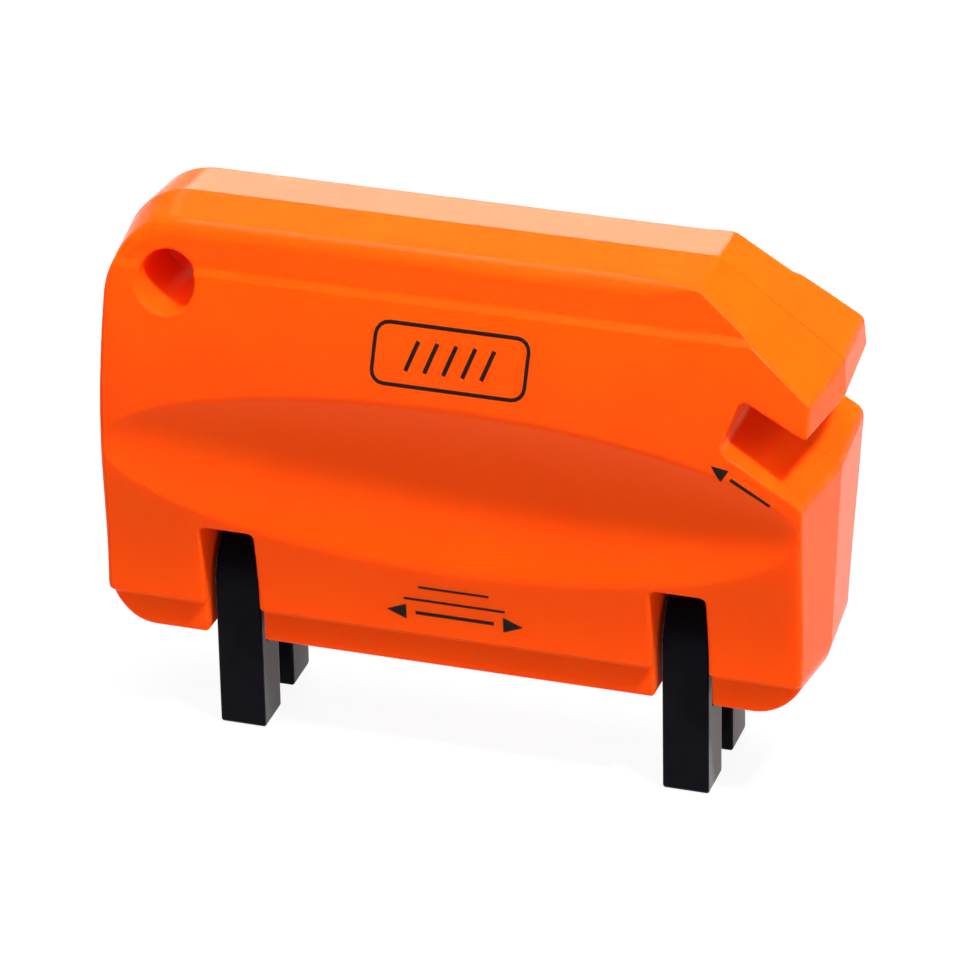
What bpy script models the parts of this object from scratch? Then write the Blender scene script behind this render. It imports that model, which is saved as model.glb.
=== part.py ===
"""Hand-held sharpener for the blades of a reel mower, as an assembly of separate pieces.

Two moulded shells meet at a vertical parting plane (y = 0) and are held by five screws from the
rear. A guide fork hangs on a steel pin near each end and tilts about the long axis, so that its
two legs follow the twist of a reel blade; a torsion spring on the pin brings it back upright.
The reel file lies between the forks in a channel-shaped holder. A slanted notch in the right end
takes the bed knife, with a second file in its roof.

Frame: +X along the tool, +Z up, front towards -Y. The legs stand on z = 0 and x = 0, y = 0 is
the middle of the tool. All lengths below are in millimetres and are scaled by MM on the way in.
"""

import math

import bmesh
import bpy
from mathutils import Matrix, Vector

MM = 0.001
GAP = 0.3  # between pieces that touch
RUNNING_GAP = 0.1  # round the pivot pins
FRONT, REAR = -1, 1

# Housing outline in the parting plane (x, z)
TOP_Z = 105.6
BOTTOM_Z = 19.7
LEFT_X, LEFT_TOP_X = -70.0, -67.7
RIGHT_X, RIGHT_LOW_X = 70.0, 67.8
CORNER_RADIUS = 9.5
SHOULDER_RADIUS = 13.5
SLOPE_TOP = (46.4, TOP_Z)
SLOPE_END = (69.8, 88.1)
DRAFT = {FRONT: 0.093, REAR: 0.06}  # how much each outline wall leans in per length of depth
BLOCK_DEPTH = 22.0

# Half thickness of the housing against height (y, z), from the lower lip to the rounded top edge
SIDE_PROFILE = (
    (14.4, 27.4), (16.3, 28.6), (16.5, 33.0), (17.5, 42.1), (18.8, 50.8), (20.1, 59.2),
    (20.8, 66.4), (20.5, 74.0), (19.6, 81.0), (17.9, 88.1), (15.7, 95.4), (14.2, 96.8),
    (12.8, 102.0), (11.9, 104.1), (10.2, 105.2),
)  # fmt: skip

# Bed-knife notch: an open slot, a little wider at its mouth, cut straight through
NOTCH_FLOOR = (51.8, 77.1)
NOTCH_ROOF = (55.4, 86.9)
FLOOR_ANGLE = math.radians(31.0)
ROOF_ANGLE = math.radians(26.0)
NOTCH_REACH = 24.0

HANG_HOLE = (-54.3, 94.0)
HANG_HOLE_RADIUS = 5.6

# Finger groove across each face: a long lens scooped out of the face
GROOVE_CENTRE = (0.0, 22.5, 59.6)
GROOVE_HALF = (67.5, 8.6, 19.0)

# Guide forks
FORK_X = {"left": -43.8, "right": 43.4}
FORK_WIDTH = 8.95
FORK_RADIUS = 12.8  # hub radius, and half the distance over both legs
LEG_GAP = 7.1
CROTCH_Z = 20.6  # centre of the round top of the gap
PIVOT_Z = 29.5
PIN_RADIUS = 2.5
PIN_SEAT = 2.3  # length held by the shells at each end
SLOT_WIDTH = 10.5
SLOT_TOP_Z = 44.7
SLIT_WIDTH, SLIT_DEPTH = 1.2, 1.0
SLIT_TOP_Z, SLIT_LOW_Z = 25.0, 17.6
SLIT_Y = 9.6

# Reel file and the holder that the shells grip
FILE_SIZE = (55.0, 6.0, 3.4)
FILE_FACE_Z = 19.4
HOLDER_SIZE = (58.0, 11.0)
HOLDER_LOW_Z, HOLDER_TOP_Z = 19.9, 34.0
FLANGE_HALF = 8.0
FLANGE_Z, FLANGE_DRAFT = (30.0, 33.0), 0.25
RIVET_RADIUS, RIVET_Z = 0.8, 21.3

# Bed-knife file in the notch roof: (start, end) along the roof, then (low, high) above it
BED_FILE = ((2.2, 9.2), (0.0, 2.3))
BED_BACKING = ((1.2, 10.2), (2.6, 4.6))
BED_FILE_HALF, BED_BACKING_HALF = 13.0, 11.5

# Housing screws, all entered from the rear: (x, z)
SCREWS = {
    "top_left": (-34.0, 85.0),
    "top_right": (38.0, 85.0),
    "end_left": (-59.3, 60.0),
    "end_right": (58.6, 54.0),
    "middle": (0.0, 44.6),
}
SCREW_RADIUS, HEAD_RADIUS, HEAD_HEIGHT = 1.45, 2.8, 2.0
HEAD_SEAT_Y = 11.0
SCREW_TIP_Y = -9.0
BOSS_RADIUS = 4.2

# Hollow inside each half
CAVITY_DEPTH = 11.5
CAVITY = (
    (-64.5, 33.0), (-53.0, 33.0), (-53.0, 48.0), (-31.0, 48.0), (-31.0, 37.0), (31.0, 37.0),
    (31.0, 48.0), (53.0, 48.0), (53.0, 33.0), (63.5, 33.0), (64.0, 65.0), (48.4, 74.5),
    (51.4, 88.5), (51.4, 92.0), (-45.2, 92.0), (-45.2, 84.6), (-64.0, 84.6),
)  # fmt: skip

# Torsion springs beside the fork hubs
WIRE_RADIUS = 0.5
COIL_RADIUS = 4.0
COIL_TURNS = 3.5
COIL_PITCH = 1.15
ARM_TOP_Z = 42.5
SPRING_ROOM = 4.8  # beyond each fork slot, along x


def clear_scene():
    for obj in list(bpy.data.objects):
        bpy.data.objects.remove(obj, do_unlink=True)


def new_collection(name):
    made = bpy.data.collections.new(name)
    bpy.context.scene.collection.children.link(made)
    return made


def new_material(name, colour, roughness, metallic=0.0):
    made = bpy.data.materials.new(name)
    made.use_nodes = True
    shader = made.node_tree.nodes["Principled BSDF"]
    shader.inputs["Base Color"].default_value = (*colour, 1.0)
    shader.inputs["Roughness"].default_value = roughness
    shader.inputs["Metallic"].default_value = metallic
    made.diffuse_color = (*colour, 1.0)
    return made


clear_scene()
PARTS = new_collection("reel_blade_sharpener")
CUTTERS = new_collection("cutters")


def add_object(name, mesh, collection):
    obj = bpy.data.objects.new(name, mesh)
    collection.objects.link(obj)
    if collection is CUTTERS:
        obj.hide_render = True
        obj.display_type = "WIRE"
    return obj


def mesh_object(name, bm, collection):
    mesh = bpy.data.meshes.new(name)
    bmesh.ops.recalc_face_normals(bm, faces=bm.faces)
    bm.to_mesh(mesh)
    bm.free()
    return add_object(name, mesh, collection)


def arc(centre, radius, start, end, steps):
    """Points on an arc, angles in degrees."""
    found = []
    for i in range(steps + 1):
        angle = math.radians(start + (end - start) * i / steps)
        found.append((centre[0] + radius * math.cos(angle), centre[1] + radius * math.sin(angle)))
    return found


def plate(name, outlines, axis, low, high, collection=None):
    """A flat outline, with holes where more than one is given, extruded along an axis from low to high.

    The outline is (x, z) for axis Y, and (y, z) for axis X.
    """
    curve = bpy.data.curves.new(name, "CURVE")
    curve.dimensions = "2D"
    curve.fill_mode = "BOTH"
    curve.extrude = (high - low) / 2 * MM
    for outline in outlines:
        spline = curve.splines.new("POLY")
        spline.points.add(len(outline) - 1)
        spline.use_cyclic_u = True
        for point, (u, v) in zip(spline.points, outline):
            point.co = (u * MM, v * MM, 0.0, 1.0)
    drawn = bpy.data.objects.new(name, curve)
    bpy.context.scene.collection.objects.link(drawn)
    middle = (low + high) / 2 * MM
    if axis == "Y":
        place = Matrix.Translation((0, middle, 0)) @ Matrix.Rotation(math.radians(90), 4, "X")
    else:
        place = Matrix.Translation((middle, 0, 0)) @ Matrix(
            ((0, 0, 1, 0), (1, 0, 0, 0), (0, 1, 0, 0), (0, 0, 0, 1))
        )
    graph = bpy.context.evaluated_depsgraph_get()
    mesh = bpy.data.meshes.new_from_object(drawn.evaluated_get(graph))
    bpy.data.objects.remove(drawn, do_unlink=True)
    bm = bmesh.new()
    bm.from_mesh(mesh)
    bpy.data.meshes.remove(mesh)
    bmesh.ops.remove_doubles(bm, verts=bm.verts, dist=1e-6)
    bmesh.ops.transform(bm, matrix=place, verts=bm.verts)
    return mesh_object(name, bm, collection or CUTTERS)


def box(name, low, high, collection=None):
    bm = bmesh.new()
    bmesh.ops.create_cube(bm, size=1.0)
    size = [high[i] - low[i] for i in range(3)]
    bmesh.ops.scale(bm, vec=Vector(size) * MM, verts=bm.verts)
    middle = Vector([(high[i] + low[i]) / 2 for i in range(3)]) * MM
    bmesh.ops.translate(bm, vec=middle, verts=bm.verts)
    return mesh_object(name, bm, collection or CUTTERS)


def cylinder(name, radius, axis, centre, low, high, segments=24, collection=None):
    """A round bar along X or Y; centre holds the other two coordinates."""
    bm = bmesh.new()
    bmesh.ops.create_cone(
        bm, cap_ends=True, segments=segments, radius1=radius * MM, radius2=radius * MM,
        depth=(high - low) * MM,
    )  # fmt: skip
    turn = Matrix.Rotation(math.radians(90), 4, "Y" if axis == "X" else "X")
    middle = (low + high) / 2
    where = (middle, centre[0], centre[1]) if axis == "X" else (centre[0], middle, centre[1])
    bmesh.ops.transform(bm, matrix=Matrix.Translation(Vector(where) * MM) @ turn, verts=bm.verts)
    return mesh_object(name, bm, collection or CUTTERS)


def loft(name, sections, collection=None):
    """A closed skin through sections of equal point counts, capped at both ends."""
    bm = bmesh.new()
    rings = [[bm.verts.new(Vector(point) * MM) for point in section] for section in sections]
    count = len(rings[0])
    for first, second in zip(rings, rings[1:]):
        for i in range(count):
            j = (i + 1) % count
            bm.faces.new((first[i], first[j], second[j], second[i]))
    bm.faces.new(rings[0])
    bm.faces.new(rings[-1])
    return mesh_object(name, bm, collection or CUTTERS)


def boolean(target, tool, operation):
    modifier = target.modifiers.new(f"{operation.lower()}_{tool.name}", "BOOLEAN")
    modifier.operation = operation
    modifier.object = tool
    modifier.solver = "EXACT"


def cut(target, *tools):
    for tool in tools:
        boolean(target, tool, "DIFFERENCE")


def finish(obj, material, smooth_angle=30.0):
    """Applies the modifiers, shades the round faces smooth and gives the material."""
    graph = bpy.context.evaluated_depsgraph_get()
    mesh = bpy.data.meshes.new_from_object(obj.evaluated_get(graph))
    obj.modifiers.clear()
    obj.data = mesh
    mesh.name = obj.name
    mesh.shade_smooth()
    mesh.set_sharp_from_angle(angle=math.radians(smooth_angle))
    mesh.materials.clear()
    mesh.materials.append(material)
    return obj


def set_origin(obj, point):
    """Moves the object's origin to a point and leaves its shape where it is."""
    origin = Vector(point) * MM
    obj.data.transform(Matrix.Translation(-origin))
    obj.location = origin


def along_notch(distance, height, start=NOTCH_ROOF, angle=ROOF_ANGLE):
    """The (x, z) this far along a notch wall from its inner corner, and this far above it."""
    x = start[0] + distance * math.cos(angle) + height * math.sin(angle)
    z = start[1] - distance * math.sin(angle) + height * math.cos(angle)
    return (x, z)


def roof_bar(name, span, rise, half_width, collection=None):
    """A bar that lies along the notch roof and runs through both shells."""
    outline = [
        along_notch(span[0], rise[0]),
        along_notch(span[1], rise[0]),
        along_notch(span[1], rise[1]),
        along_notch(span[0], rise[1]),
    ]
    return plate(name, [outline], "Y", -half_width, half_width, collection)


def housing_outline(inset):
    """The housing outline, every wall moved in by inset; its point count never changes."""
    slope = math.atan2(SLOPE_TOP[1] - SLOPE_END[1], SLOPE_END[0] - SLOPE_TOP[0])
    low_z = BOTTOM_Z + CORNER_RADIUS
    corner = CORNER_RADIUS - inset
    shoulder = (LEFT_TOP_X + SHOULDER_RADIUS, TOP_Z - SHOULDER_RADIUS)
    # A wall moved in shifts each end of the slope along the wall that it meets.
    top_shift = inset * math.tan(slope / 2)
    end_shift = inset * math.tan((math.pi / 2 - slope) / 2)
    points = arc((LEFT_X + CORNER_RADIUS, low_z), corner, 180, 270, 6)
    points += arc((RIGHT_LOW_X - CORNER_RADIUS, low_z), corner, 270, 360, 6)
    points.append((RIGHT_X - inset, SLOPE_END[1] - 8.0))
    points.append((SLOPE_END[0] - inset, SLOPE_END[1] - end_shift))
    points.append((SLOPE_TOP[0] - top_shift, TOP_Z - inset))
    points += arc(shoulder, SHOULDER_RADIUS - inset, 90, 180, 8)
    return points


def housing_block(name, side):
    sections = []
    for depth in (GAP / 2, BLOCK_DEPTH):
        outline = housing_outline(DRAFT[side] * depth)
        sections.append([(x, side * depth, z) for x, z in outline])
    return loft(name, sections, PARTS)


def side_profile(side):
    """The side view of one half, as a prism along the tool."""
    low = [(0.0, BOTTOM_Z - 5), (SIDE_PROFILE[0][0], BOTTOM_Z - 5)]
    high = [(SIDE_PROFILE[-1][0], TOP_Z + 1), (0.0, TOP_Z + 1)]
    outline = [(side * y, z) for y, z in (*low, *SIDE_PROFILE, *high)]
    return plate(f"side_profile_{side}", [outline], "X", LEFT_X - 5, RIGHT_X + 5)


def rounded_slot(centre_x, low_z):
    half, radius = SLOT_WIDTH / 2, 1.2
    points = [(centre_x - half, low_z), (centre_x + half, low_z)]
    points += arc((centre_x + half - radius, SLOT_TOP_Z - radius), radius, 0, 90, 3)
    points += arc((centre_x - half + radius, SLOT_TOP_Z - radius), radius, 90, 180, 3)
    return points


def inward(side_name):
    """+1 where the middle of the tool lies towards +X of this fork."""
    return 1 if FORK_X[side_name] < 0 else -1


def notch_cutter():
    outline = [
        NOTCH_FLOOR,
        along_notch(NOTCH_REACH, 0, NOTCH_FLOOR, FLOOR_ANGLE),
        along_notch(NOTCH_REACH, 0),
        NOTCH_ROOF,
    ]
    return plate("notch", [outline], "Y", -BLOCK_DEPTH - 2, BLOCK_DEPTH + 2)


def common_cutters():
    """What is cut from both shells alike: notch, hang hole, fork slots, pin seats, file pockets."""
    deep = BLOCK_DEPTH + 2
    found = [
        notch_cutter(),
        cylinder("hang_hole", HANG_HOLE_RADIUS, "Y", HANG_HOLE, -deep, deep, 32),
        roof_bar(
            "bed_file_pocket", (BED_FILE[0][0] - GAP, BED_FILE[0][1] + GAP), (-1.0, 3.0),
            BED_FILE_HALF + GAP,
        ),
        roof_bar(
            "bed_backing_pocket",
            (BED_BACKING[0][0] - GAP, BED_BACKING[0][1] + GAP),
            (BED_BACKING[1][0] - GAP, BED_BACKING[1][1] + GAP),
            BED_BACKING_HALF + GAP,
        ),
    ]  # fmt: skip
    half_length, half_width = HOLDER_SIZE[0] / 2 + GAP, HOLDER_SIZE[1] / 2 + GAP
    found.append(
        box(
            "holder_pocket", (-half_length, -half_width, BOTTOM_Z - 5),
            (half_length, half_width, HOLDER_TOP_Z + GAP),
        )
    )  # fmt: skip
    found.append(
        box(
            "flange_pocket", (-half_length, -FLANGE_HALF - GAP, FLANGE_Z[0] - GAP),
            (half_length, FLANGE_HALF + GAP, FLANGE_Z[1] + GAP),
        )
    )  # fmt: skip
    for name, x in FORK_X.items():
        inside = x + inward(name) * (SLOT_WIDTH / 2 - 0.5)
        far = x + inward(name) * (SLOT_WIDTH / 2 + SPRING_ROOM)
        found.append(plate(f"{name}_slot", [rounded_slot(x, -1)], "Y", -deep, deep))
        found.append(
            box(
                f"{name}_spring_room", (min(inside, far), -6.2, PIVOT_Z - 6.0),
                (max(inside, far), 6.2, SLOT_TOP_Z - 0.8),
            )
        )  # fmt: skip
        low, high = sorted((pin_ends(name)[0] - GAP, pin_ends(name)[1] + GAP))
        found.append(
            cylinder(f"{name}_pin_seat", PIN_RADIUS + RUNNING_GAP, "X", (0, PIVOT_Z), low, high, 24)
        )
    return found


def pin_ends(name):
    """Where the pivot pin starts and stops along x, with each end seated in the shells."""
    x, way = FORK_X[name], inward(name)
    outer = x - way * (SLOT_WIDTH / 2 + PIN_SEAT)
    inner = x + way * (SLOT_WIDTH / 2 + SPRING_ROOM + PIN_SEAT)
    return min(outer, inner), max(outer, inner)


def cavity_cutter(side):
    """The hollow of one half; the screw bosses are islands in its outline."""
    bosses = [arc(centre, BOSS_RADIUS, 0, 337.5, 15) for centre in SCREWS.values()]
    low, high = sorted((side * -1.0, side * CAVITY_DEPTH))
    return plate(f"cavity_{side}", [CAVITY, *bosses], "Y", low, high)


def groove_cutter(side):
    bm = bmesh.new()
    bmesh.ops.create_uvsphere(bm, u_segments=28, v_segments=14, radius=1.0)
    bmesh.ops.rotate(bm, cent=(0, 0, 0), matrix=Matrix.Rotation(math.radians(90), 3, "Y"), verts=bm.verts)
    bmesh.ops.scale(bm, vec=Vector(GROOVE_HALF) * MM, verts=bm.verts)
    x, y, z = GROOVE_CENTRE
    bmesh.ops.translate(bm, vec=Vector((x, side * y, z)) * MM, verts=bm.verts)
    return mesh_object(f"finger_groove_{side}", bm, CUTTERS)


def screw_holes(side):
    found = []
    for name, centre in SCREWS.items():
        low, high = (-1.0, 30.0) if side == REAR else (SCREW_TIP_Y - 1.0, 1.0)
        radius = SCREW_RADIUS + GAP
        found.append(cylinder(f"{name}_hole_{side}", radius, "Y", centre, low, high, 16))
        if side == REAR:
            seat = HEAD_SEAT_Y
            wide = HEAD_RADIUS + GAP + 0.3
            found.append(cylinder(f"{name}_counterbore", wide, "Y", centre, seat, 30.0, 20))
    return found


def make_shell(name, side, shared, material):
    shell = housing_block(name, side)
    boolean(shell, side_profile(side), "INTERSECT")
    cut(shell, groove_cutter(side), cavity_cutter(side), *shared, *screw_holes(side))
    return finish(shell, material)


def fork_outline():
    """Side view of a fork (y, z): a round hub over two legs with a round-topped gap."""
    foot = 0.8
    half_gap = LEG_GAP / 2
    outline = [(-half_gap, foot), (-half_gap - foot, 0), (-FORK_RADIUS + foot, 0), (-FORK_RADIUS, foot)]
    outline += arc((0, PIVOT_Z), FORK_RADIUS, 180, 0, 28)
    outline += [(FORK_RADIUS, foot), (FORK_RADIUS - foot, 0), (half_gap + foot, 0), (half_gap, foot)]
    outline += arc((0, CROTCH_Z), half_gap, 0, 180, 10)
    return outline


def slit_cutters(name, x):
    """Short blind grooves in both cheeks of each leg, round at their lower end."""
    found = []
    radius = SLIT_WIDTH / 2
    for leg in (FRONT, REAR):
        y = leg * SLIT_Y
        outline = arc((y, SLIT_LOW_Z + radius), radius, 180, 360, 5)
        outline += [(y + radius, SLIT_TOP_Z), (y - radius, SLIT_TOP_Z)]
        for cheek in (-1, 1):
            low, high = sorted((x + cheek * (FORK_WIDTH / 2 - SLIT_DEPTH), x + cheek * FORK_WIDTH))
            found.append(plate(f"{name}_slit_{leg}_{cheek}", [outline], "X", low, high))
    return found


def make_fork(name, x, material):
    low, high = x - FORK_WIDTH / 2, x + FORK_WIDTH / 2
    fork = plate(f"{name}_guide_fork", [fork_outline()], "X", low, high, PARTS)
    bore = cylinder(f"{name}_bore", PIN_RADIUS + RUNNING_GAP, "X", (0, PIVOT_Z), low - 1, high + 1, 24)
    cut(fork, bore, *slit_cutters(name, x))
    finish(fork, material)
    set_origin(fork, (x, 0, PIVOT_Z))
    return fork


def make_pin(name, material):
    low, high = pin_ends(name)
    return finish(
        cylinder(f"{name}_pivot_pin", PIN_RADIUS, "X", (0, PIVOT_Z), low, high, 24, PARTS), material
    )


def make_washer(name, x, material):
    """A thin washer between the hub and the outer wall of its slot."""
    way = -inward(name)
    start = x + way * (FORK_WIDTH / 2 + 0.15)
    low, high = sorted((start, start + way * 0.5))
    washer = cylinder(f"{name}_washer", 5.0, "X", (0, PIVOT_Z), low, high, 24, PARTS)
    cut(washer, cylinder(f"{name}_washer_hole", PIN_RADIUS + GAP, "X", (0, PIVOT_Z), low - 1, high + 1, 24))
    return finish(washer, material)


def make_spring(name, x, material):
    """A torsion spring round the pin, with one arm standing up against the shells."""
    way = inward(name)
    start = x + way * (FORK_WIDTH / 2 + 0.3 + WIRE_RADIUS)
    steps = int(12 * COIL_TURNS)
    points = []
    for i in range(steps + 1):
        turn = i / 12
        angle = math.tau * turn + math.pi
        y, z = COIL_RADIUS * math.cos(angle), PIVOT_Z + COIL_RADIUS * math.sin(angle)
        points.append((start + way * COIL_PITCH * turn, y, z))
    x_end, y_end, _ = points[-1]
    points.append((x_end, y_end, ARM_TOP_Z))
    curve = bpy.data.curves.new(f"{name}_fork_spring", "CURVE")
    curve.dimensions = "3D"
    curve.bevel_depth = WIRE_RADIUS * MM
    curve.bevel_resolution = 2
    curve.use_fill_caps = True
    spline = curve.splines.new("POLY")
    spline.points.add(len(points) - 1)
    for point, place in zip(spline.points, points):
        point.co = (*(Vector(place) * MM), 1.0)
    spring = bpy.data.objects.new(f"{name}_fork_spring", curve)
    PARTS.objects.link(spring)
    curve.materials.append(material)
    return spring


def make_reel_file(steel, abrasive, black):
    """The file in its channel-shaped holder, and the two rivets that pass through both."""
    length, width, height = FILE_SIZE
    file_top = FILE_FACE_Z + height
    bar = box("reel_file", (-length / 2, -width / 2, FILE_FACE_Z), (length / 2, width / 2, file_top), PARTS)
    half = HOLDER_SIZE[1] / 2
    inner = width / 2 + GAP
    roof = file_top + GAP
    low, high = FLANGE_Z
    outline = [
        (inner, HOLDER_LOW_Z), (half, HOLDER_LOW_Z), (half, low + FLANGE_DRAFT), (FLANGE_HALF, low),
        (FLANGE_HALF, high - FLANGE_DRAFT), (half, high), (half, HOLDER_TOP_Z),
    ]  # fmt: skip
    mirrored = [(-y, z) for y, z in reversed(outline)]
    outline += [*mirrored, (-inner, roof), (inner, roof)]
    reach = HOLDER_SIZE[0] / 2
    holder = plate("reel_file_holder", [outline], "X", -reach, reach, PARTS)
    for name, x in (("left", -22.0), ("right", 22.0)):
        hole = cylinder(f"{name}_rivet_hole", RIVET_RADIUS + 0.2, "Y", (x, RIVET_Z), -9, 9, 16)
        cut(bar, hole)
        cut(holder, hole)
        rivet = cylinder(f"{name}_file_rivet", RIVET_RADIUS, "Y", (x, RIVET_Z), -half, half, 16, PARTS)
        finish(rivet, steel)
    finish(bar, abrasive)
    finish(holder, black)


def make_bed_knife_file(steel, abrasive):
    file_bar = roof_bar("bed_knife_file", *BED_FILE, BED_FILE_HALF, PARTS)
    backing = roof_bar("bed_knife_file_backing", *BED_BACKING, BED_BACKING_HALF, PARTS)
    finish(file_bar, abrasive)
    finish(backing, steel)


def screw_mesh():
    """A pan-head screw along +Y with a cross recess, its seat at the origin."""
    edge = 0.4
    length = HEAD_SEAT_Y - SCREW_TIP_Y
    profile = [
        (0.0, HEAD_HEIGHT), (HEAD_RADIUS - edge, HEAD_HEIGHT), (HEAD_RADIUS, HEAD_HEIGHT - edge),
        (HEAD_RADIUS, 0.0), (SCREW_RADIUS, 0.0), (SCREW_RADIUS, -length + 1.2), (0.5, -length), (0.0, -length),
    ]  # fmt: skip
    bm = bmesh.new()
    verts = [bm.verts.new((radius * MM, 0.0, height * MM)) for radius, height in profile]
    for first, second in zip(verts, verts[1:]):
        bm.edges.new((first, second))
    mesh = bpy.data.meshes.new("housing_screw")
    bm.to_mesh(mesh)
    bm.free()
    turned = add_object("screw_pattern", mesh, CUTTERS)
    screw = turned.modifiers.new("turn", "SCREW")
    screw.axis = "Z"
    screw.steps = screw.render_steps = 20
    screw.use_merge_vertices = True
    screw.merge_threshold = 1e-5
    for name, half in (("recess_a", (1.7, 0.35)), ("recess_b", (0.35, 1.7))):
        low = (-half[0], -half[1], HEAD_HEIGHT - 1.1)
        cut(turned, box(name, low, (half[0], half[1], HEAD_HEIGHT + 1)))
    graph = bpy.context.evaluated_depsgraph_get()
    made = bpy.data.meshes.new_from_object(turned.evaluated_get(graph))
    bpy.data.objects.remove(turned, do_unlink=True)
    made.transform(Matrix.Rotation(math.radians(-90), 4, "X"))
    return made


def make_screws(material):
    shape = screw_mesh()
    shape.materials.clear()
    shape.materials.append(material)
    shape.shade_smooth()
    shape.set_sharp_from_angle(angle=math.radians(30))
    for name, (x, z) in SCREWS.items():
        screw = add_object(f"{name}_screw", shape, PARTS)
        screw.location = Vector((x, HEAD_SEAT_Y + GAP, z)) * MM


def main():
    orange = new_material("orange_plastic", (1.0, 0.12, 0.01), 0.38)
    black = new_material("black_nylon", (0.012, 0.013, 0.018), 0.5)
    steel = new_material("steel", (0.55, 0.55, 0.56), 0.3, 1.0)
    abrasive = new_material("abrasive", (0.13, 0.13, 0.14), 0.85, 0.2)
    shared = common_cutters()
    make_shell("front_shell", FRONT, shared, orange)
    make_shell("rear_shell", REAR, shared, orange)
    for name, x in FORK_X.items():
        make_fork(name, x, black)
        make_pin(name, steel)
        make_washer(name, x, steel)
        make_spring(name, x, steel)
    make_reel_file(steel, abrasive, black)
    make_bed_knife_file(steel, abrasive)
    make_screws(steel)


main()
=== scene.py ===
"""Looks of the reel-blade sharpener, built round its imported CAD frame.

The two housing shells, the guide forks and the screws are made here as distance fields: each is a
set of walls joined with rounded edges of known radius, and one mesher turns the field into quads.
Lengths are in millimetres and are scaled by MM on the way into Blender. Only the camera, the
lights and the floor are placed in metres. In a shell's field w is the depth from the parting
plane, towards the outside, so both shells share one set of formulas.
"""

import functools
import math

import bmesh
import bpy
import numpy as np
from mathutils import Matrix, Vector


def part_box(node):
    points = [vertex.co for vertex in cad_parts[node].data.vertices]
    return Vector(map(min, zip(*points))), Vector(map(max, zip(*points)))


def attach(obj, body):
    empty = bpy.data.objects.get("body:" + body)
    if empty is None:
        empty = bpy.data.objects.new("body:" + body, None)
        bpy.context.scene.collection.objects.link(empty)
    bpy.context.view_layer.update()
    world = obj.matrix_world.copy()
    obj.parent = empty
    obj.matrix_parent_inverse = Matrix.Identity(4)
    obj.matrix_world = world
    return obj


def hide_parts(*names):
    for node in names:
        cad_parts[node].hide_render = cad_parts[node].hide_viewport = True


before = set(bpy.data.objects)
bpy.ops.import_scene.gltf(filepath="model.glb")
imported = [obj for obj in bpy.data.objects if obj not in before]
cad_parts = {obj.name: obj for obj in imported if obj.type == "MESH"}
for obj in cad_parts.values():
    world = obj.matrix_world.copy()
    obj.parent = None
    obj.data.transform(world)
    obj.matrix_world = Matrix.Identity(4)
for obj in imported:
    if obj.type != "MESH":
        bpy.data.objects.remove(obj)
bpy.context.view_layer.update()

MM = 0.001
HOUSING = "housing"
FRONT, REAR = -1, 1

# Housing outline in the parting plane (x, z). Its walls lean in by DRAFT per length of depth
DRAFT = {FRONT: 0.093, REAR: 0.06}
LOW_DRAFT = 0.05
TOP_Z, BOTTOM_Z = 105.6, 19.7
LEFT_LOW, LEFT_TOP = (-70.0, 29.2), (-67.7, 92.1)
RIGHT_LOW, RIGHT_BEAK, RIGHT_TOP = (67.8, 29.2), (70.0, 80.1), (69.8, 88.1)
SLOPE_TOP = (46.4, TOP_Z)
CORNER_RADIUS, SHOULDER_RADIUS = 9.5, 13.5
BEAK_RADIUS, SLOPE_RADIUS = 0.7, 0.5
HALF_SEAM, SEAM_SPARE = 0.06, -0.6

# Depth of the broad face by height: a band at the bottom, the belly, and the crown at the top
BAND_DEPTH, BAND_END_Z = 14.4, (26.4, 28.2)
SKIRT_Z, SKIRT_DEPTH = 29.0, 16.3
BELLY_Z, BELLY_DEPTH, BELLY_FALL = 67.5, 20.8, 148.0
CROWN_Z, CROWN_DEPTH, CROWN_LEAN = 97.0, 14.1, 0.28
CROWN_START_Z = (97.4, 95.8)

# Finger groove: a long lens, which reaches GROOVE_RISE above GROOVE_Z and GROOVE_DROP below it
GROOVE_HALF_LENGTH, GROOVE_Z = 66.7, 61.8
GROOVE_RISE, GROOVE_DROP, GROOVE_DEPTH = 15.7, 19.0, 6.5
GROOVE_TAPER, GROOVE_LIP = 0.8, 0.16

# Edge round the broad face: its radius in each region, and where one region turns into the next
TOP_RADIUS = {FRONT: 2.5, REAR: 1.1}
RIM_RADIUS, LOW_RIM_RADIUS, TIGHT_RIM_RADIUS = 1.0, 0.5, 0.4
RIM_OFF_NOTCH, RIM_LOW_Z = (1.5, 6.5), (24.0, 21.0)
RIM_TOP_X, RIM_TOP_Z = (45.0, 31.0), (94.0, 102.0)
RIM_SLOPE_X, RIM_SLOPE_Z = (38.0, 45.0), (80.0, 84.0)

# Bed-knife notch, hang hole and fork slots, with the radii of their edges
NOTCH_FLOOR, NOTCH_ROOF = (51.8, 77.1), (55.4, 86.9)
FLOOR_ANGLE, ROOF_ANGLE = math.radians(31.0), math.radians(26.0)
NOTCH_CORNER_RADIUS, NOTCH_EDGE_RADIUS = 1.5, 1.3
HANG_HOLE, HANG_HOLE_RADIUS, HOLE_EDGE_RADIUS = (-54.3, 94.0), 5.6, 0.45
FORKS = {"left": -43.8, "right": 43.4}
SLOT_WIDTH, SLOT_TOP_Z, SLOT_FLARE = 10.5, 44.7, 0.012
SLOT_CORNER_RADIUS, SLOT_EDGE_RADIUS = 1.2, 0.6

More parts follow.
